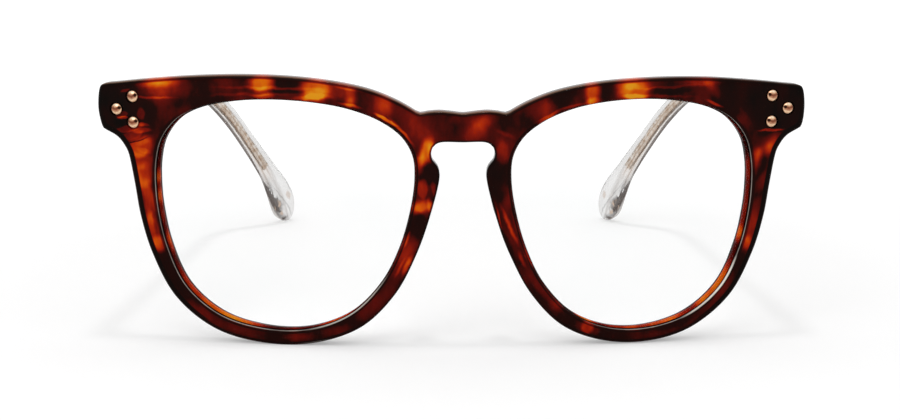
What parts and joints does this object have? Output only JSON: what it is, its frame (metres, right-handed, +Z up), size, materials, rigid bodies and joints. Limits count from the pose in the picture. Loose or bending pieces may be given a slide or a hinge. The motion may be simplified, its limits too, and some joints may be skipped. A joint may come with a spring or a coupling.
{
  "type": "eyeglass frame",
  "caption": "Acetate eyeglasses: tortoise front with a keyhole bridge and rose-gold rivets, clear temples with a metal core, folding on screw hinges.",
  "frame": {"origin": "the middle of the base: the open glasses stand on their rims' lower edges and on their temple tips", "axes": "+Z up, the front looks along -Y, +X is the right of the picture, across the face"},
  "size_m": [0.1422, 0.139, 0.0541],
  "materials": {
    "tortoise_acetate": "polished",
    "crystal_acetate": "polished, clear",
    "demo_lens": "clear",
    "rose_gold": "polished",
    "hinge_steel": "satin",
    "core_wire": "satin"
  },
  "bodies": {
    "front_group": {"front": "tortoise_acetate", "lens_left": "demo_lens", "lens_right": "demo_lens", "nose_pad_left": "tortoise_acetate", "nose_pad_right": "tortoise_acetate", "rivet_left_upper": "rose_gold", "rivet_left_lower": "rose_gold", "rivet_left_outer": "rose_gold", "rivet_right_upper": "rose_gold", "rivet_right_lower": "rose_gold", "rivet_right_outer": "rose_gold", "hinge_front_leaf_left": "hinge_steel", "hinge_front_leaf_right": "hinge_steel", "hinge_screw_left": "hinge_steel", "hinge_screw_right": "hinge_steel"},
    "temple_left_group": {"temple_left": "crystal_acetate", "hinge_temple_leaf_left": "hinge_steel", "core_wire_left": "core_wire"},
    "temple_right_group": {"temple_right": "crystal_acetate", "hinge_temple_leaf_right": "hinge_steel", "core_wire_right": "core_wire"}
  },
  "joints": [
    {"name": "temple_left_fold", "type": "hinge", "parent": "front_group", "child": "temple_left_group", "pos_m": [-0.0658, -0.05585, 0.04725], "axis": [0, 0, -1], "range_deg": [0, 80]},
    {"name": "temple_right_fold", "type": "hinge", "parent": "front_group", "child": "temple_right_group", "pos_m": [0.0658, -0.05585, 0.04725], "axis": [0, 0, 1], "range_deg": [0, 66]}
  ]
}
